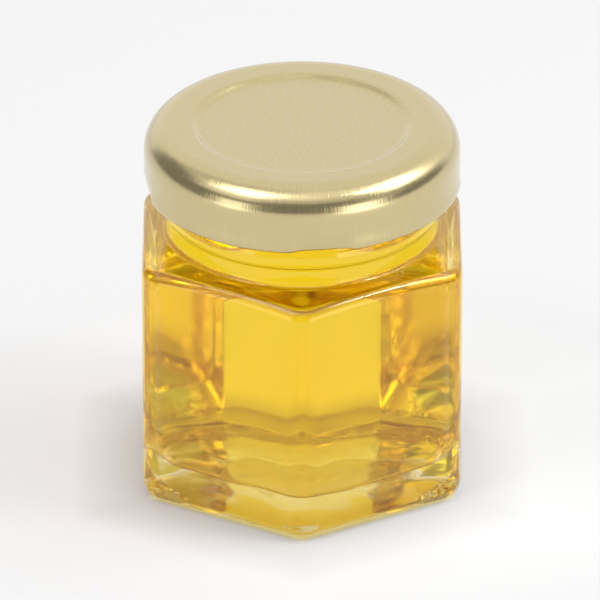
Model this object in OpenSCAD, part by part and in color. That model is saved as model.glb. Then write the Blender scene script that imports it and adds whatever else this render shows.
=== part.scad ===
// Small six-sided honey jar: pressed glass, honey up into the neck, twist-off metal lid.
// Origin at the middle of the base, on the surface that the jar stands on. +Z is up
// and one upright corner of the body points to -Y.

/* [Body] */
// Width of the body across two flat sides
body_flats = 46.2; // [42:0.2:56]
// Radius of the six upright corners
corner_r = 4.4; // [3:0.1:6]
// Radius of the edge between the sides and the base
heel_r = 2.4; // [1:0.1:4]
// Height of the shoulder surface where it meets the neck
shoulder_h = 38.4; // [30:0.2:48]
// Slope of the shoulder, in degrees
shoulder_slope = 9.5; // [4:0.5:16]
// Radius of the edge between the sides and the shoulder
shoulder_r = 1.8; // [0.8:0.1:3]

/* [Neck and rim] */
// Outer diameter of the neck
neck_d = 39.2; // [32:0.1:41]
// Height of the neck, from the shoulder to the top of the rim
neck_h = 16.3; // [13:0.1:20]
// Thickness of the glass round the neck
neck_wall = 2.4; // [1.6:0.1:3.2]
// Radius of the hollow where the neck meets the shoulder
neck_fillet = 0.9; // [0.4:0.1:1.6]
// Height of the middle of the bead round the neck, above the shoulder
bead_up = 4.2; // [2.6:0.1:6]
// How far the bead stands out from the neck
bead_out = 0.55; // [0.2:0.05:0.8]
// Height of the bead
bead_h = 3.2; // [1.5:0.1:4]
// Radius of the rim's rounded edges
rim_r = 0.8; // [0.4:0.1:1]

/* [Inside of the glass] */
// Thickness of the six side walls
wall = 2.6; // [1.6:0.1:4]
// Thickness of the base at its edge
base_t = 5.2; // [3:0.1:8]
// Radius of the edge between the inside walls and the inside floor
floor_r = 4.2; // [2:0.1:6]
// Radius of the edge between the inside walls and the underside of the shoulder
inner_shoulder_r = 3; // [1:0.1:4]

/* [Underside] */
// Width of the flat foot round the hollow, at the middle of a side
foot_w = 1.2; // [0.8:0.1:8]
// Depth of the hollow under the base
push_up_h = 1.1; // [0.4:0.1:2]

/* [Honey] */
// Height of the free space between the honey and the top of the rim
headspace = 3.4; // [1:0.1:3.9]

/* [Lid] */
// Clearance between the neck and the rolled edge of the lid
lid_gap = 2.1; // [1.6:0.1:3]
// Height of the lid
lid_h = 9.6; // [8.6:0.1:11]
// Thickness of the sheet metal
sheet_t = 0.25; // [0.2:0.05:0.4]
// How far the rolled edge stands out from the side wall
curl_out = 0.15; // [0.05:0.05:0.3]
// Thickness of the rolled edge
curl_d = 1.3; // [0.9:0.1:1.6]
// Radius of the edge between the side wall and the top
lid_edge_r = 4.1; // [2:0.1:5]
// Clearance between the bore of the neck and the step round the sunk panel
panel_gap = 1.05; // [0.4:0.05:3]
// Width of the step, seen from above
panel_step = 1.1; // [0.6:0.1:2]
// Depth of the sunk panel
panel_depth = 0.6; // [0.3:0.05:1.2]

/* [Lid lugs] */
// Number of lugs pressed in round the rolled edge
lug_count = 4; // [3:1:6]
// Width of a lug
lug_w = 9.4; // [6:0.2:12]
// Clearance between a lug and the neck
lug_gap = 1.3; // [0.8:0.1:1.6]
// Thickness of a lug, sheet folded on itself
lug_t = 0.9; // [0.5:0.1:1.2]
// Turn of the lid on the jar, in degrees from the front corner
lid_turn = 7.5; // [0:0.5:45]

/* [Hidden] */
// Steps round each upright corner, along each flat side and round each rounded edge
corner_steps = 4;
flat_steps = 6;
edge_steps = 4;
// Steps from the middle of the hollow under the base to its edge
dome_steps = 3;
$fn = 96;

slope = tan(shoulder_slope);
jar_h = shoulder_h + neck_h;
neck_r = neck_d / 2;
bore_r = neck_r - neck_wall;
bead_z = shoulder_h + bead_up;
push_up_r = body_flats / 2 - heel_r - foot_w;
// Height of the underside of the shoulder where it meets the line of the neck
inner_shoulder_h = shoulder_h - wall / cos(shoulder_slope);
honey_z = jar_h - headspace;
lid_r = neck_r + lid_gap + curl_d;
lid_top = jar_h + sheet_t;
lid_bottom = lid_top - lid_h;
wall_r = lid_r - curl_out;
panel_r = bore_r - panel_gap;

glass_colour = [0.86, 0.90, 0.84, 0.45];
honey_colour = [0.90, 0.73, 0.16];
lid_colour = [0.80, 0.77, 0.55];

// ---- rings --------------------------------------------------------------------------

// Places round the outline of the body. Each is [angle of the outward normal, number of
// the corner, share of the way along the flat side after it].
outline = [for (k = [0:5]) each concat(
    [for (i = [0:corner_steps]) [k * 60 - 120 + i * 60 / corner_steps, k, 0]],
    [for (i = [1:flat_steps - 1]) [k * 60 - 60, k, i / flat_steps]]
)];
count = len(outline);

function outward(place) = [cos(place[0]), sin(place[0])];
function with_z(p, z) = [p[0], p[1], z];
function backwards(list) = [for (i = [len(list) - 1:-1:0]) list[i]];

// Centre of a rounded corner of the body
function corner_centre(k, flats, radius) =
    let (a = k * 60 - 90, reach = (flats / 2 - radius) / cos(30))
    [reach * cos(a), reach * sin(a)];

// The point of a rounded hexagon at one place of the outline
function hex_point(place, flats, radius) =
    let (
        here = corner_centre(place[1], flats, radius),
        next = corner_centre(place[1] + 1, flats, radius)
    )
    here + (next - here) * place[2] + radius * outward(place);

// Height of a shoulder surface at a distance from the axis
function shoulder_z(top, reach) = top + (neck_r - reach) * slope;

// A ring at the lower rounded edge: angle 0 is on the base and 90 on the side
function lower_ring(flats, radius, edge, z0, angle) =
    [for (place = outline)
        with_z(
            hex_point(place, flats, radius) - edge * (1 - sin(angle)) * outward(place),
            z0 + edge * (1 - cos(angle))
        )
    ];

// A ring at the upper rounded edge: angle 0 is on the side and grows towards the shoulder
function upper_ring(flats, radius, edge, top, angle) =
    [for (place = outline)
        let (
            side = hex_point(place, flats, radius),
            last = 90 - shoulder_slope,
            end = side - edge * (1 - cos(last)) * outward(place)
        )
        with_z(
            side - edge * (1 - cos(angle)) * outward(place),
            shoulder_z(top, norm(end)) - edge * (sin(last) - sin(angle))
        )
    ];

// The six-sided stretch between a base and a shoulder, from the bottom up
function body_rings(flats, radius, lower, upper, z0, top) = concat(
    [for (i = [0:edge_steps]) lower_ring(flats, radius, lower, z0, i * 90 / edge_steps)],
    [for (i = [0:edge_steps])
        upper_ring(flats, radius, upper, top, i * (90 - shoulder_slope) / edge_steps)]
);

// A round ring, with a point in line with the middle of each corner
function round_ring(r, z) =
    [for (i = [0:count - 1])
        let (a = (i - corner_steps / 2) * 360 / count - 90)
        [r * cos(a), r * sin(a), z]
    ];

// Round rings along an arc in the half section, from one angle to another
function arc_rings(centre_r, centre_z, radius, from, to) =
    [for (i = [0:edge_steps])
        let (a = from + (to - from) * i / edge_steps)
        round_ring(centre_r + radius * cos(a), centre_z + radius * sin(a))
    ];

// Closed solid through a chain of rings that all have the same number of points. A fan
// of triangles round a point on the axis closes each end, where the ring is level.
module loft(rings) {
    last = len(rings) - 1;
    first_middle = len(rings) * count;
    sides = [for (j = [0:last - 1], i = [0:count - 1])
        let (n = (i + 1) % count)
        [j * count + i, (j + 1) * count + i, (j + 1) * count + n, j * count + n]
    ];
    first_cap = [for (i = [0:count - 1]) [i, (i + 1) % count, first_middle]];
    last_cap = [for (i = [0:count - 1])
        [last * count + (i + 1) % count, last * count + i, first_middle + 1]
    ];
    middles = [for (j = [0, last]) [0, 0, rings[j][0][2]]];
    polyhedron(
        points = concat([for (ring = rings) each ring], middles),
        faces = concat(first_cap, sides, last_cap)
    );
}

// ---- jar ----------------------------------------------------------------------------

// Shallow dome under the base, from near its middle to its edge
function push_up_rings() =
    let (dome_r = (pow(push_up_r, 2) + pow(push_up_h, 2)) / (2 * push_up_h))
    [for (i = [1:dome_steps])
        let (r = push_up_r * i / dome_steps)
        round_ring(r, push_up_h - dome_r + sqrt(dome_r * dome_r - r * r))
    ];

// Outside of the neck: the fillet at the shoulder, the bead and the rim's outer edge
function neck_rings() =
    let (
        fillet_r = neck_r + neck_fillet,
        fillet_z = shoulder_z(shoulder_h, fillet_r) + neck_fillet / cos(shoulder_slope),
        bead_r = (pow(bead_h / 2, 2) + pow(bead_out, 2)) / (2 * bead_out),
        bead_half = asin(bead_h / 2 / bead_r)
    )
    concat(
        arc_rings(fillet_r, fillet_z, neck_fillet, -90 - shoulder_slope, -180),
        arc_rings(neck_r + bead_out - bead_r, bead_z, bead_r, -bead_half, bead_half),
        arc_rings(neck_r - rim_r, jar_h - rim_r, rim_r, 0, 90)
    );

// Inside of the glass, from the floor up to the foot of the bore
function inside_rings() = concat(
    body_rings(
        body_flats - 2 * wall, corner_r, min(floor_r, corner_r), inner_shoulder_r,
        base_t, inner_shoulder_h
    ),
    [round_ring(bore_r, shoulder_z(inner_shoulder_h, bore_r))]
);

module jar() {
    color(glass_colour) loft(concat(
        push_up_rings(),
        body_rings(body_flats, corner_r, heel_r, shoulder_r, 0, shoulder_h),
        neck_rings(),
        arc_rings(bore_r + rim_r, jar_h - rim_r, rim_r, 90, 180),
        [round_ring(bore_r, honey_z)],
        backwards(inside_rings())
    ));
}

// ---- honey --------------------------------------------------------------------------

module honey() {
    color(honey_colour) loft(concat(inside_rings(), [round_ring(bore_r, honey_z)]));
}

// ---- lid ----------------------------------------------------------------------------

// Half outline of the lid, made smaller all round by a distance
module lid_section(less) {
    edge_x = wall_r - lid_edge_r;
    edge_z = lid_top - lid_edge_r;
    difference() {
        union() {
            translate([0, lid_bottom]) square([wall_r - less, edge_z - lid_bottom]);
            translate([0, lid_bottom]) square([edge_x, lid_h - less]);
            translate([edge_x, edge_z]) circle(lid_edge_r - less);
        }
        translate([0, -less]) polygon([
            [0, lid_top - panel_depth],
            [panel_r - panel_step + less, lid_top - panel_depth],
            [panel_r + less, lid_top],
            [panel_r + less, lid_top + 1],
            [0, lid_top + 1]
        ]);
    }
}

// Where the lugs are: one lies lid_turn to the right of the front corner
module at_lugs() {
    for (i = [0:lug_count - 1]) rotate([0, 0, lid_turn + i * 360 / lug_count]) children();
}

// The flat that pressing a lug leaves outside the rolled edge
module lug_flat() {
    flat_y = sqrt(pow(lid_r, 2) - pow(lug_w / 2, 2));
    translate([-lug_w / 2, -lid_r - 1, lid_bottom - 1]) {
        cube([lug_w, lid_r + 1 - flat_y, curl_d + 1]);
    }
}

// The part of a lug that reaches in under the neck's finish
module lug() {
    half_angle = asin(lug_w / 2 / lid_r);
    inner = neck_r + lug_gap;
    rotate([0, 0, -90 - half_angle]) rotate_extrude(angle = 2 * half_angle) {
        translate([inner, lid_bottom]) square([lid_r - curl_d / 2 - inner, lug_t]);
    }
}

module lid() {
    color(lid_colour) {
        difference() {
            rotate_extrude() union() {
                difference() {
                    lid_section(0);
                    lid_section(sheet_t);
                    square([lid_r + 1, lid_bottom + curl_d / 2]);
                }
                translate([lid_r - curl_d / 2, lid_bottom + curl_d / 2]) circle(d = curl_d);
            }
            at_lugs() lug_flat();
        }
        at_lugs() lug();
    }
}

jar();
honey();
lid();
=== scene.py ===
"""Small six-sided honey jar: clear pressed glass, pale golden honey and a gold twist-off lid."""

import math

import bpy
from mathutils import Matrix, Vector, noise


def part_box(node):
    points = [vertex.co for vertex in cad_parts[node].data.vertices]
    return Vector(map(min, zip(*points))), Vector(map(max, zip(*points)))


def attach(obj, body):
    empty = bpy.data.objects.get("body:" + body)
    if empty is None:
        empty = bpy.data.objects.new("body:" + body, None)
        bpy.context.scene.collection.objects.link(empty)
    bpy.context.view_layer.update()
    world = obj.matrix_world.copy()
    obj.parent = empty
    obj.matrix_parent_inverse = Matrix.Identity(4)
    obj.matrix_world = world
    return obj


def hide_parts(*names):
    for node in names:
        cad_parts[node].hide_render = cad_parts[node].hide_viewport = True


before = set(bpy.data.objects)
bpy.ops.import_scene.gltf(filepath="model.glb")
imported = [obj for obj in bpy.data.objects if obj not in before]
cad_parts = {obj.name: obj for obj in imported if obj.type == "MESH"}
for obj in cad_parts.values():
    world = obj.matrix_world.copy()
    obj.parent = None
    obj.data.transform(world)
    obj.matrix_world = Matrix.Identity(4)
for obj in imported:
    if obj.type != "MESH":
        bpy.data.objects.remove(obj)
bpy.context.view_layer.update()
MM = 0.001

# ---- sizes, as in the CAD model ------------------------------------------------------

jar_low, jar_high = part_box("jar")
honey_low, honey_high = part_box("honey")
lid_low, lid_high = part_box("lid")

BODY_FLATS = jar_high.x - jar_low.x
CORNER_R = 4.4 * MM
HEEL_R = 2.4 * MM
SHOULDER_H = 38.4 * MM
SHOULDER_SLOPE = math.radians(9.5)
SHOULDER_R = 1.8 * MM
RIM_Z = jar_high.z
NECK_R = 19.6 * MM
NECK_FILLET = 0.9 * MM
BEAD_Z = SHOULDER_H + 4.2 * MM
BEAD_OUT = 0.55 * MM
BEAD_H = 3.2 * MM
RIM_R = 0.8 * MM
WALL = 2.6 * MM
FLOOR_Z = honey_low.z
FLOOR_R = 4.2 * MM
INNER_SHOULDER_R = 3 * MM
BORE_R = NECK_R - 2.4 * MM
FOOT_W = 1.2 * MM
PUSH_UP_R = BODY_FLATS / 2 - HEEL_R - FOOT_W
PUSH_UP_H = 1.1 * MM
HONEY_Z = honey_high.z

LID_TOP = lid_high.z
LID_BOTTOM = lid_low.z
CURL_D = 1.3 * MM
CURL_OUT = 0.15 * MM
FLARE_H = 2.6 * MM
LID_R = NECK_R + 2.1 * MM + CURL_D
LID_EDGE_R = 4.1 * MM
SHEET = 0.25 * MM
PANEL_R = BORE_R - 1.05 * MM
PANEL_STEP = 1.6 * MM
PANEL_DEPTH = 0.66 * MM
LUG_COUNT = 4
LUG_W = 9.4 * MM
LUG_R = NECK_R + 1.3 * MM
LID_TURN = math.radians(7.5)

# How far the honey's surface reaches into the glass
OVERLAP = 0.12 * MM

# Unevenness of the cavity: at its floor, higher up, the height between, and its grain
WAVE_LOW = 0.4 * MM
WAVE_HIGH = 0.08 * MM
WAVY_H = 9 * MM
# The painted shade on the cavity's floor ends this far up its rounded edge
FLAT_FLOOR = 0.6 * MM
WAVE_GRAIN = 6.5 * MM
# Unevenness of the hollow under the base, as a share of its depth, and its grain
DOME_WAVE = 0.3
DOME_GRAIN = 5 * MM
# The stippled foot
STIPPLE_H = 0.22 * MM
STIPPLE_GRAIN = 1.0 * MM

# Steps round each upright corner, along each flat side and round each rounded edge
CORNER_STEPS = 12
FLAT_STEPS = 36
EDGE_STEPS = 10
LID_STEPS = 288
DOME_STEPS = 14
STIPPLE_STEPS = 6
FLOOR_STEPS = 10
# A ring this close to a rounded edge keeps the flat beside it flat
HOLD = 0.25 * MM

SLOPE = math.tan(SHOULDER_SLOPE)
INNER_SHOULDER_H = SHOULDER_H - WALL / math.cos(SHOULDER_SLOPE)


# ---- mesh helpers --------------------------------------------------------------------


def mesh_object(name, points, faces, materials, material_of=None):
    mesh = bpy.data.meshes.new(name)
    mesh.from_pydata([tuple(p) for p in points], [], faces)
    for material in materials:
        mesh.materials.append(material)
    for polygon in mesh.polygons:
        polygon.use_smooth = True
        if material_of:
            polygon.material_index = material_of(polygon)
    mesh.validate()
    mesh.update()
    piece = bpy.data.objects.new(name, mesh)
    bpy.context.collection.objects.link(piece)
    return piece


def close_rings(rings):
    """Points and faces of a closed skin through a chain of equal rings, with a fan at each end."""
    count = len(rings[0])
    points = [p for ring in rings for p in ring]
    faces = []
    for j in range(len(rings) - 1):
        for i in range(count):
            n = (i + 1) % count
            faces.append((j * count + i, j * count + n, (j + 1) * count + n, (j + 1) * count + i))
    for ring_start, forward in ((0, False), ((len(rings) - 1) * count, True)):
        ring = points[ring_start : ring_start + count]
        points.append(sum(ring, Vector()) / count)
        centre = len(points) - 1
        for i in range(count):
            a, b = ring_start + i, ring_start + (i + 1) % count
            faces.append((a, b, centre) if forward else (b, a, centre))
    return points, faces


def outline_places():
    """Places round the body: the angle of the outward normal, the corner and the way along."""
    edge = HOLD / (BODY_FLATS / math.sqrt(3))
    along = [edge + (1 - 2 * edge) * i / (FLAT_STEPS - 2) for i in range(FLAT_STEPS - 1)]
    places = []
    for k in range(6):
        for i in range(CORNER_STEPS + 1):
            places.append((math.radians(k * 60 - 120 + i * 60 / CORNER_STEPS), k, 0.0))
        places.extend((math.radians(k * 60 - 60), k, share) for share in along)
    return places


PLACES = outline_places()
COUNT = len(PLACES)


def corner_centre(k, flats, radius):
    reach = (flats / 2 - radius) / math.cos(math.radians(30))
    a = math.radians(k * 60 - 90)
    return Vector((reach * math.cos(a), reach * math.sin(a), 0))


def hex_point(place, flats, radius, inset=0.0):
    """A point of the rounded hexagon, moved in along its normal."""
    angle, k, share = place
    here = corner_centre(k, flats, radius)
    there = corner_centre(k + 1, flats, radius)
    outward = Vector((math.cos(angle), math.sin(angle), 0))
    return here.lerp(there, share) + outward * (radius - inset)


def at_height(p, z):
    return Vector((p.x, p.y, z))


def round_ring(r, z):
    ring = []
    for i in range(COUNT):
        a = (i - CORNER_STEPS / 2) * 2 * math.pi / COUNT - math.pi / 2
        ring.append(Vector((r * math.cos(a), r * math.sin(a), z)))
    return ring


def shoulder_z(top, reach):
    return top + (NECK_R - reach) * SLOPE


def steps(count, low, high):
    return [low + (high - low) * i / count for i in range(count + 1)]


def body_rings(flats, radius, lower, upper, z0, top):
    """The six-sided stretch between a base and a shoulder, from the bottom up."""
    rings = []
    for a in steps(EDGE_STEPS, 0, math.pi / 2):
        inset, rise = lower * (1 - math.sin(a)), lower * (1 - math.cos(a))
        rings.append([at_height(hex_point(p, flats, radius, inset), z0 + rise) for p in PLACES])
    last = math.pi / 2 - SHOULDER_SLOPE
    end_inset = upper * (1 - math.cos(last))
    ends = [hex_point(p, flats, radius, end_inset).length for p in PLACES]
    tops = [shoulder_z(top, reach) - upper * math.sin(last) for reach in ends]
    low = z0 + lower
    span = min(tops) - low
    for share in [HOLD / span, 0.15, 0.3, 0.45, 0.6, 0.75, 0.9, 1 - HOLD / span]:
        rings.append(
            [
                at_height(hex_point(p, flats, radius), low + share * (z - low))
                for p, z in zip(PLACES, tops)
            ]
        )
    for a in steps(EDGE_STEPS, 0, last):
        inset, rise = upper * (1 - math.cos(a)), upper * math.sin(a)
        rings.append(
            [
                at_height(hex_point(p, flats, radius, inset), z + rise)
                for p, z in zip(PLACES, tops)
            ]
        )
    return rings


def between(ring_a, ring_b, shares):
    return [[p.lerp(q, share) for p, q in zip(ring_a, ring_b)] for share in shares]


def arc_rings(centre_r, centre_z, radius, start, end, count=EDGE_STEPS):
    return [
        round_ring(centre_r + radius * math.cos(a), centre_z + radius * math.sin(a))
        for a in steps(count, math.radians(start), math.radians(end))
    ]


# ---- glass and honey -----------------------------------------------------------------


def shaken(p, amount, grain):
    """A point moved by smooth noise, as hot glass leaves its mould slightly uneven."""
    return p + noise.noise_vector(p / grain) * amount


def uneven_inside(p):
    """The plunger leaves the walls nearly true and the floor of the cavity wavy."""
    high = min(1, max(0, (p.z - FLOOR_Z) / WAVY_H))
    amount = WAVE_LOW + (WAVE_HIGH - WAVE_LOW) * high * (2 - high)
    return shaken(p, amount, WAVE_GRAIN)


def uneven_dome(p):
    return p + Vector((0, 0, p.z * DOME_WAVE * noise.noise(p / DOME_GRAIN)))


def foot_rings(edge):
    """The stippled ring that the jar stands on, out to the first ring of the body's edge."""
    first = round_ring(PUSH_UP_R, 0)
    rings = []
    for ring in between(first, edge, steps(STIPPLE_STEPS, 0.04, 0.96)):
        rings.append([p + Vector((0, 0, stipple(p))) for p in ring])
    return rings


def stipple(p):
    return STIPPLE_H * (0.5 + 0.5 * noise.noise(p / STIPPLE_GRAIN))


def outer_rings():
    """Outside of the glass, from the middle of the base up to the rim, and the foot's rings."""
    dome_r = (PUSH_UP_R**2 + PUSH_UP_H**2) / (2 * PUSH_UP_H)
    rings = []
    for i in range(1, DOME_STEPS + 1):
        r = PUSH_UP_R * i / DOME_STEPS
        z = PUSH_UP_H - dome_r + math.sqrt(dome_r**2 - r**2)
        rings.append([uneven_dome(p) for p in round_ring(r, z)])
    body = body_rings(BODY_FLATS, CORNER_R, HEEL_R, SHOULDER_R, 0, SHOULDER_H)
    foot = foot_rings(body[0])
    stippled = range(len(rings) - 2, len(rings) + len(foot) + 1)
    rings += foot
    rings += body
    slope = math.degrees(SHOULDER_SLOPE)
    fillet_r = NECK_R + NECK_FILLET
    fillet_z = shoulder_z(SHOULDER_H, fillet_r) + NECK_FILLET / math.cos(SHOULDER_SLOPE)
    fillet = arc_rings(fillet_r, fillet_z, NECK_FILLET, -90 - slope, -180)
    rings += between(body[-1], fillet[0], (0.06, 0.35, 0.65, 0.94))
    rings += fillet
    bead_r = ((BEAD_H / 2) ** 2 + BEAD_OUT**2) / (2 * BEAD_OUT)
    half = math.degrees(math.asin(BEAD_H / 2 / bead_r))
    bead = arc_rings(NECK_R + BEAD_OUT - bead_r, BEAD_Z, bead_r, -half, half)
    rim = arc_rings(NECK_R - RIM_R, RIM_Z - RIM_R, RIM_R, 0, 90)
    rings += between(fillet[-1], bead[0], (0.1, 0.9))
    rings += bead
    rings += between(bead[-1], rim[0], (0.03, 0.5, 0.97))
    rings += rim
    rings += arc_rings(BORE_R + RIM_R, RIM_Z - RIM_R, RIM_R, 90, 180)
    return rings, stippled


def inside_rings(grow, top_z):
    """Inside of the glass, from the floor up to a height, moved out by grow into the wall."""
    body = body_rings(
        BODY_FLATS - 2 * WALL + 2 * grow,
        CORNER_R + grow,
        FLOOR_R + grow,
        INNER_SHOULDER_R + grow,
        FLOOR_Z - grow,
        INNER_SHOULDER_H + grow,
    )
    middle = [Vector((0, 0, FLOOR_Z - grow))] * COUNT
    bore = BORE_R + grow
    foot_z = shoulder_z(INNER_SHOULDER_H + grow, bore)
    foot = round_ring(bore, foot_z)
    rings = between(middle, body[0], steps(FLOOR_STEPS, 0.05, 0.95))
    rings += body
    rings += between(body[-1], foot, (0.2, 0.5, 0.95))
    rings.append(foot)
    rings.append(round_ring(bore, foot_z + HOLD))
    rings.append(round_ring(bore, top_z - HOLD))
    rings.append(round_ring(bore, top_z))
    return [[uneven_inside(p) for p in ring] for ring in rings]


def make_glass(materials):
    outside, stippled = outer_rings()
    points, faces = close_rings(outside + inside_rings(0, RIM_Z - RIM_R)[::-1])

    def slot(polygon):
        first_ring = min(polygon.vertices) // COUNT
        if first_ring in stippled:
            return 2
        if first_ring < len(outside):
            return 0
        # Faces at the cavity's floor take the floor glass, tinted darker as painted shade
        low = max(points[v].z for v in polygon.vertices) < FLOOR_Z + FLAT_FLOOR
        return 3 if low else 1

    glass = mesh_object("glass", points, faces, materials, slot)
    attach(glass, "root")
    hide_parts("jar")
    return glass


def make_honey(materials):
    points, faces = close_rings(inside_rings(OVERLAP, HONEY_Z))
    honey = mesh_object("honey_fill", points, faces, materials)
    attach(honey, "root")
    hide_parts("honey")
    return honey


# ---- lid -----------------------------------------------------------------------------


def lid_profile():
    """Closed half section of the lid: (radius, height, how much of the lug's dent it takes)."""
    wall_r = LID_R - CURL_OUT
    edge_r, edge_z = wall_r - LID_EDGE_R, LID_TOP - LID_EDGE_R
    panel_z = LID_TOP - PANEL_DEPTH
    inner_r = PANEL_R - PANEL_STEP
    top = [(inner_r * i / 10, panel_z, 0) for i in range(1, 10)]
    for share in steps(12, 0, 1):
        smooth = share * share * (3 - 2 * share)
        top.append((inner_r + PANEL_STEP * share, panel_z + PANEL_DEPTH * smooth, 0))
    top.append((PANEL_R + HOLD, LID_TOP, 0))
    top.append((edge_r - HOLD, LID_TOP, 0))
    for a in steps(16, math.pi / 2, 0):
        x, z = edge_r + LID_EDGE_R * math.cos(a), edge_z + LID_EDGE_R * math.sin(a)
        top.append((x, z, 0))
    curl_r, curl_z = LID_R - CURL_D / 2, LID_BOTTOM + CURL_D / 2
    wall_low = LID_BOTTOM + 1.45 * MM
    for z in steps(8, edge_z - HOLD, curl_z):
        flare = min(1, max(0, (LID_BOTTOM + FLARE_H - z) / (FLARE_H - CURL_D / 2)))
        top.append((wall_r + CURL_OUT * flare * flare * (3 - 2 * flare), z, flare))
    for a in steps(20, 0, -math.pi - 0.9)[1:]:
        x, z = curl_r + CURL_D / 2 * math.cos(a), curl_z + CURL_D / 2 * math.sin(a)
        top.append((x, z, 1))
    for z in (wall_low, edge_z - HOLD):
        top.append((wall_r - SHEET, z, 0))
    inner_edge = LID_EDGE_R - SHEET
    for a in steps(10, 0, math.pi / 2):
        top.append((edge_r + inner_edge * math.cos(a), edge_z + inner_edge * math.sin(a), 0))
    for share in steps(6, 1, 0):
        smooth = share * share * (3 - 2 * share)
        z = panel_z - SHEET + PANEL_DEPTH * smooth
        top.append((inner_r + PANEL_STEP * share, z, 0))
    top.append((inner_r / 2, panel_z - SHEET, 0))
    return top


def lug_share(angle):
    """0 away from the lugs, and up to 1 at the middle of a lug."""
    pitch = 2 * math.pi / LUG_COUNT
    half = math.asin(LUG_W / 2 / LID_R)
    off = (angle - LID_TURN + math.pi / 2 + pitch / 2) % pitch - pitch / 2
    return max(0.0, 1 - abs(off / half) ** 4) if abs(off) < half else 0.0


def lid_ring(r, z, dent):
    ring = []
    curl_mid = LID_R - CURL_D / 2
    sagitta = LID_R - math.sqrt(LID_R**2 - (LUG_W / 2) ** 2)
    for i in range(LID_STEPS):
        a = 2 * math.pi * i / LID_STEPS
        share = lug_share(a) * dent
        here = r - sagitta * share
        if r < curl_mid:
            here += (LUG_R - (LID_R - CURL_D)) * share * (curl_mid - r) / (CURL_D / 2)
        lift = 0.22 * MM * share
        ring.append(Vector((here * math.cos(a), here * math.sin(a), z + lift)))
    return ring


def make_lid(materials):
    points, faces = close_rings([lid_ring(*section) for section in lid_profile()][::-1])
    lid = mesh_object("lid_shell", points, faces, materials)
    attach(lid, "root")
    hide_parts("lid")
    return lid


# ---- materials -----------------------------------------------------------------------


def new_material(name):
    material = bpy.data.materials.new(name)
    material.use_nodes = True
    tree = material.node_tree
    return material, tree, tree.nodes["Principled BSDF"]


def add(tree, kind, inputs=(), **settings):
    node = tree.nodes.new(kind)
    for key, value in settings.items():
        setattr(node, key, value)
    for key, value in dict(inputs).items():
        if isinstance(value, bpy.types.NodeSocket):
            tree.links.new(value, node.inputs[key])
        else:
            node.inputs[key].default_value = value
    return node


def glass_material(name, reflects=True, roughness=0.0, tint=(1, 1, 1, 1)):
    material, tree, shader = new_material(name)
    shader.inputs["Base Color"].default_value = tint
    shader.inputs["Roughness"].default_value = roughness
    shader.inputs["IOR"].default_value = 1.52
    shader.inputs["Transmission Weight"].default_value = 1.0
    if not reflects:
        shader.inputs["Specular Tint"].default_value = (0, 0, 0, 1)
    return material, tree, shader


def paint_base_shade(tree, shader):
    """Painted shade: the outside of the glass is tinted darker and yellower towards the base than on
    the walls.
    """
    place = add(tree, "ShaderNodeNewGeometry")
    axes = add(tree, "ShaderNodeSeparateXYZ", {0: place.outputs["Position"]})
    low = add(
        tree,
        "ShaderNodeMapRange",
        {"Value": axes.outputs["Z"], "From Min": 6.5 * MM, "From Max": 2.5 * MM},
        interpolation_type="SMOOTHSTEP",
    )
    tint = add(
        tree,
        "ShaderNodeMix",
        {0: low.outputs[0], 6: GLASS_TINT, 7: PAINTED_BASE_SHADE},
        data_type="RGBA",
    )
    tree.links.new(tint.outputs[2], shader.inputs["Base Color"])


def clear_glass():
    """Outside of the glass: polished by the fire, with a faint orange-peel ripple."""
    material, tree, shader = glass_material("glass_clear", roughness=0.07)
    paint_base_shade(tree, shader)
    place = add(tree, "ShaderNodeNewGeometry")
    ripple = add(
        tree,
        "ShaderNodeTexNoise",
        {"Vector": place.outputs["Position"], "Scale": 160, "Detail": 1.5},
    )
    bump = add(
        tree,
        "ShaderNodeBump",
        {"Height": ripple.outputs[0], "Strength": 0.5, "Distance": 0.03 * MM},
    )
    tree.links.new(bump.outputs[0], shader.inputs["Normal"])
    return material


def stippled_glass():
    """The foot: a ring of small pits from the mould, dull from sliding on shelves."""
    material, tree, shader = glass_material("glass_stippled", roughness=0.08)
    paint_base_shade(tree, shader)
    place = add(tree, "ShaderNodeNewGeometry")
    pits = add(
        tree,
        "ShaderNodeTexVoronoi",
        {"Vector": place.outputs["Position"], "Scale": 1300},
        feature="SMOOTH_F1",
    )
    bump = add(
        tree,
        "ShaderNodeBump",
        {"Height": pits.outputs["Distance"], "Strength": 1.0, "Distance": 0.35 * MM},
    )
    tree.links.new(bump.outputs[0], shader.inputs["Normal"])
    return material


def honey_material():
    material, tree, shader = new_material("honey_clear")
    shader.inputs["Base Color"].default_value = (1, 1, 1, 1)
    shader.inputs["Roughness"].default_value = 0.0
    shader.inputs["IOR"].default_value = 1.49
    shader.inputs["Transmission Weight"].default_value = 1.0
    shader.inputs["Specular Tint"].default_value = (0, 0, 0, 1)
    depth = add(
        tree,
        "ShaderNodeVolumeAbsorption",
        {"Color": (0.995, 0.933, 0.0, 1), "Density": 102},
    )
    tree.links.new(depth.outputs[0], tree.nodes["Material Output"].inputs["Volume"])
    return material


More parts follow.
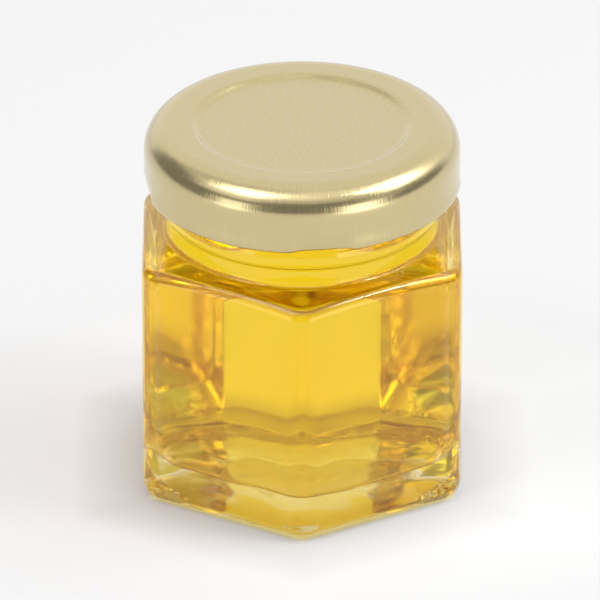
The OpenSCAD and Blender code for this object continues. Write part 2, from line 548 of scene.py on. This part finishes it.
def lid_material():
    """Gold lacquer on tinplate: fine streaks round the side, satin grain on the top."""
    material, tree, shader = new_material("gold_lacquer")
    shader.inputs["Metallic"].default_value = 1.0
    shader.inputs["Coat Weight"].default_value = 0.6
    shader.inputs["Coat Roughness"].default_value = 0.12
    place = add(tree, "ShaderNodeNewGeometry")
    position = place.outputs["Position"]
    axes = add(tree, "ShaderNodeSeparateXYZ", {0: position})
    around = add(
        tree, "ShaderNodeMath", {0: axes.outputs["X"], 1: axes.outputs["Y"]}, operation="ARCTAN2"
    )
    across = add(tree, "ShaderNodeCombineXYZ", {"X": axes.outputs["X"], "Y": axes.outputs["Y"]})
    reach = add(tree, "ShaderNodeVectorMath", {0: across.outputs[0]}, operation="LENGTH")
    side = add(
        tree,
        "ShaderNodeMapRange",
        {"Value": reach.outputs["Value"], "From Min": 17 * MM, "From Max": 21 * MM},
        interpolation_type="SMOOTHSTEP",
    )
    height = add(tree, "ShaderNodeMath", {0: axes.outputs["Z"], 1: 120}, operation="MULTIPLY")
    lines = add(
        tree,
        "ShaderNodeCombineXYZ",
        {"X": around.outputs[0], "Y": 0.0, "Z": height.outputs[0]},
    )
    spread = add(
        tree, "ShaderNodeVectorMath", {0: lines.outputs[0], 1: (130, 1, 1)}, operation="MULTIPLY"
    )
    streaks = add(
        tree, "ShaderNodeTexNoise", {"Vector": spread.outputs[0], "Scale": 1.0, "Detail": 4}
    )
    grain = add(
        tree, "ShaderNodeTexNoise", {"Vector": position, "Scale": 2600, "Detail": 2}
    )
    relief = add(
        tree,
        "ShaderNodeMix",
        {0: side.outputs[0], 2: grain.outputs[0], 3: streaks.outputs[0]},
        data_type="FLOAT",
    )
    bump = add(
        tree,
        "ShaderNodeBump",
        {"Height": relief.outputs[0], "Strength": 0.9, "Distance": 0.03 * MM},
    )
    tree.links.new(bump.outputs[0], shader.inputs["Normal"])
    gloss = add(
        tree,
        "ShaderNodeMapRange",
        {"Value": streaks.outputs[0], "From Min": 0.3, "From Max": 0.7, "To Min": 0.15, "To Max": 0.25},
    )
    tree.links.new(gloss.outputs[0], shader.inputs["Roughness"])
    tint = add(
        tree,
        "ShaderNodeMapRange",
        {"Value": relief.outputs[0], "From Min": 0.3, "From Max": 0.7},
    )
    colour = add(
        tree,
        "ShaderNodeMix",
        {0: tint.outputs[0], 6: (0.582, 0.482, 0.245, 1), 7: (0.632, 0.526, 0.275, 1)},
        data_type="RGBA",
    )
    tree.links.new(colour.outputs[2], shader.inputs["Base Color"])
    return material


# ---- stage, lights and camera --------------------------------------------------------


def ramp(tree, value, stops):
    """A colour for each stretch of a value, from stops of (place, colour)."""
    node = add(tree, "ShaderNodeValToRGB", {0: value})
    points = node.color_ramp.elements
    while len(points) < len(stops):
        points.new(1)
    for point, (place, colour) in zip(points, stops):
        point.position = place
    for point, (place, colour) in zip(points, stops):
        point.color = (*colour, 1)
    return node


def make_floor():
    """Pale paper that glows: a painted yellow glow under the jar stands in for light through the honey,
    with painted shade at the jar's edge, darker on the left as a painted shadow, and painted light
    round it, easing to an even pale floor far off.
    """
    mesh = bpy.data.meshes.new("floor")
    size = 6
    corners = [(-size, -size, 0), (size, -size, 0), (size, size, 0), (-size, size, 0)]
    mesh.from_pydata(corners, [], [(0, 1, 2, 3)])
    floor = bpy.data.objects.new("floor", mesh)
    bpy.context.collection.objects.link(floor)
    material, tree, shader = new_material("floor_paper")
    shader.inputs["Base Color"].default_value = (0.5, 0.5, 0.5, 1)
    shader.inputs["Roughness"].default_value = 1.0
    shader.inputs["Specular IOR Level"].default_value = 0.0
    place = add(tree, "ShaderNodeNewGeometry")
    reach = None
    for turn in (0, 60, 120):
        side = (math.cos(math.radians(turn)), math.sin(math.radians(turn)), 0)
        ahead = add(
            tree,
            "ShaderNodeVectorMath",
            {0: place.outputs["Position"], 1: side},
            operation="DOT_PRODUCT",
        )
        off = add(tree, "ShaderNodeMath", {0: ahead.outputs["Value"]}, operation="ABSOLUTE")
        if reach:
            both = {0: reach.outputs[0], 1: off.outputs[0]}
            off = add(tree, "ShaderNodeMath", both, operation="MAXIMUM")
        reach = off
    share = add(tree, "ShaderNodeMath", {0: reach.outputs[0], 1: PAINTED_LIGHT_SPAN}, operation="DIVIDE")
    left = ramp(tree, share.outputs[0], PAINTED_LIGHT_SHADE_LEFT)
    right = ramp(tree, share.outputs[0], PAINTED_LIGHT_SHADE_RIGHT)
    axes = add(tree, "ShaderNodeSeparateXYZ", {0: place.outputs["Position"]})
    sideways = add(
        tree,
        "ShaderNodeMapRange",
        {"Value": axes.outputs["X"], "From Min": -35 * MM, "From Max": 35 * MM},
        interpolation_type="SMOOTHSTEP",
    )
    # Painted light and shade round the jar, darker to the left as a painted shadow
    painted_glow = add(
        tree,
        "ShaderNodeMix",
        {0: sideways.outputs[0], 6: left.outputs[0], 7: right.outputs[0]},
        data_type="RGBA",
    )
    tree.links.new(painted_glow.outputs[2], shader.inputs["Emission Color"])
    shader.inputs["Emission Strength"].default_value = 1.0
    mesh.materials.append(material)
    return floor


def window(tree, value, middle, half, soft):
    """1 within half of the middle, easing to 0 over a further soft; all in degrees."""
    low = math.radians(middle)
    off = add(tree, "ShaderNodeMath", {0: value, 1: low}, operation="SUBTRACT")
    off = add(tree, "ShaderNodeMath", {0: off.outputs[0]}, operation="ABSOLUTE")
    share = add(
        tree,
        "ShaderNodeMapRange",
        {
            "Value": off.outputs[0],
            "From Min": math.radians(half + soft),
            "From Max": math.radians(half),
        },
        interpolation_type="SMOOTHSTEP",
    )
    return share.outputs[0]


def world_patch(tree, direction, turn, turn_half, rise, rise_half, soft, level):
    """Brightness of one pale part of the studio, round a turn and a rise in degrees."""
    turned = add(
        tree,
        "ShaderNodeVectorRotate",
        {"Vector": direction, "Angle": math.radians(-turn)},
        rotation_type="Z_AXIS",
    )
    axes = add(tree, "ShaderNodeSeparateXYZ", {0: turned.outputs[0]})
    ahead = add(tree, "ShaderNodeMath", {0: axes.outputs["Y"], 1: -1}, operation="MULTIPLY")
    around = add(
        tree, "ShaderNodeMath", {0: axes.outputs["X"], 1: ahead.outputs[0]}, operation="ARCTAN2"
    )
    up = add(tree, "ShaderNodeMath", {0: axes.outputs["Z"]}, operation="ARCSINE")
    across = window(tree, around.outputs[0], 0, turn_half, soft)
    upright = window(tree, up.outputs[0], rise, rise_half, soft)
    both = add(tree, "ShaderNodeMath", {0: across, 1: upright}, operation="MULTIPLY")
    return add(tree, "ShaderNodeMath", {0: both.outputs[0], 1: level}, operation="MULTIPLY")


def make_world():
    """A pale sweep behind and overhead, and a dim room in front and at the sides."""
    world = bpy.data.worlds.new("studio")
    bpy.context.scene.world = world
    world.use_nodes = True
    tree = world.node_tree
    background = tree.nodes["Background"]
    background.inputs["Color"].default_value = (1, 1, 1, 1)
    place = add(tree, "ShaderNodeTexCoord")
    level = add(tree, "ShaderNodeValue")
    level.outputs[0].default_value = WORLD_DIM
    level = level.outputs[0]
    for patch in WORLD_PATCHES:
        part = world_patch(tree, place.outputs["Generated"], *patch)
        brighter = {0: level, 1: part.outputs[0]}
        level = add(tree, "ShaderNodeMath", brighter, operation="MAXIMUM").outputs[0]
    tree.links.new(level, background.inputs["Strength"])


def area_light(name, turn, rise, distance, size, strength):
    """A rectangular softbox: turn is to the right of the camera's side, rise above the horizon."""
    light = bpy.data.lights.new(name, "AREA")
    light.shape = "RECTANGLE"
    light.size, light.size_y = size
    light.energy = strength * math.pi * size[0] * size[1]
    lamp = bpy.data.objects.new(name, light)
    bpy.context.collection.objects.link(lamp)
    t, e = math.radians(turn), math.radians(rise)
    towards = Vector((math.sin(t) * math.cos(e), -math.cos(t) * math.cos(e), math.sin(e)))
    lamp.location = towards * distance + Vector((0, 0, RIM_Z))
    lamp.rotation_mode = "QUATERNION"
    lamp.rotation_quaternion = (-towards).to_track_quat("-Z", "Y")
    return lamp


GLASS_TINT = (0.985, 0.885, 0.78, 1)
# Painted shade: the glass is tinted darker and yellower at the base
PAINTED_BASE_SHADE = (0.7, 0.53, 0.14, 1)
# How often a path may turn, and the brightness of the room where nothing pale is
PATH_BOUNCES = 64
WORLD_DIM = 0.28
# Painted light and shade given off by the paper: (share of the span out from the middle, colour)
PAINTED_LIGHT_SPAN = 160 * MM
# Painted glow under the jar, standing in for light thrown through the honey
PAINTED_HONEY_GLOW = (0.6, 0.49, 0.1)
FAR = (0.3, 0.3, 0.3)
# Painted shade at the jar's edge, darker on the left as a painted shadow, then painted light round the
# jar
PAINTED_LIGHT_SHADE_LEFT = (
    (0, PAINTED_HONEY_GLOW), (0.132, PAINTED_HONEY_GLOW), (0.1405, (0.2, 0.155, 0.125)), (0.21, (0.39, 0.35, 0.345)), (0.34, FAR),
)
PAINTED_LIGHT_SHADE_RIGHT = (
    (0, PAINTED_HONEY_GLOW), (0.132, PAINTED_HONEY_GLOW), (0.1405, (0.3, 0.295, 0.29)), (0.21, (0.42, 0.415, 0.41)), (0.34, FAR),
)
# The pale parts of the studio: turn, half width, rise, half height, soft edge, brightness
WORLD_PATCHES = (
    (173, 49, 30, 60, 10, 1.0),
    (0, 180, 90, 47, 10, 0.75),
    (30, 75, 78, 20, 7, 1.12),
    (-5, 27, 66, 10, 6, 1.35),
    (112, 14, 38, 16, 8, 1.2),
    (62, 16, 30, 10, 10, 0.6),
    (-62, 26, 41, 8, 6, 1.1),
)


def make_lights():
    area_light("low_left", -48, 5, 0.3, (0.12, 0.15), 1.7)
    area_light("low_right", 41, 3, 0.3, (0.15, 0.15), 2.2)
    area_light("high_left", -60, 59, 0.8, (0.4, 0.36), 3.2)
    area_light("key", 90, 44, 0.9, (0.48, 0.44), 3.5)
    area_light("key_core", 76, 51, 0.8, (0.16, 0.08), 22)


def make_camera():
    rise = math.radians(27.9)
    distance = 1.4
    pixel_span = 6.872 / MM
    target = Vector((-0.29 * MM, 0, 25.95 * MM))
    camera = bpy.data.objects.new("camera", bpy.data.cameras.new("camera"))
    bpy.context.collection.objects.link(camera)
    towards = Vector((0, -math.cos(rise), math.sin(rise)))
    camera.location = target + towards * distance
    camera.rotation_mode = "QUATERNION"
    camera.rotation_quaternion = (-towards).to_track_quat("-Z", "Y")
    camera.data.sensor_width = 36
    camera.data.lens = 36 * pixel_span * distance / 600
    camera.data.clip_start = 0.05
    camera.data.clip_end = 20
    bpy.context.scene.camera = camera


def allow_deep_paths():
    """Light meets three surfaces at each filled wall and is turned back inside many times."""
    cycles = bpy.context.scene.cycles
    cycles.max_bounces = PATH_BOUNCES
    cycles.glossy_bounces = PATH_BOUNCES
    cycles.transmission_bounces = PATH_BOUNCES


make_glass(
    [
        clear_glass(),
        glass_material("glass_inside", reflects=False)[0],
        stippled_glass(),
        # The cavity floor's glass is tinted darker and yellower: painted shade
        glass_material("glass_floor_painted_shade", reflects=False, tint=(0.72, 0.62, 0.36, 1))[0],
    ]
)
make_honey([honey_material()])
make_lid([lid_material()])
make_floor()
make_world()
make_lights()
make_camera()
bpy.context.scene.view_settings.view_transform = "Standard"
allow_deep_paths()
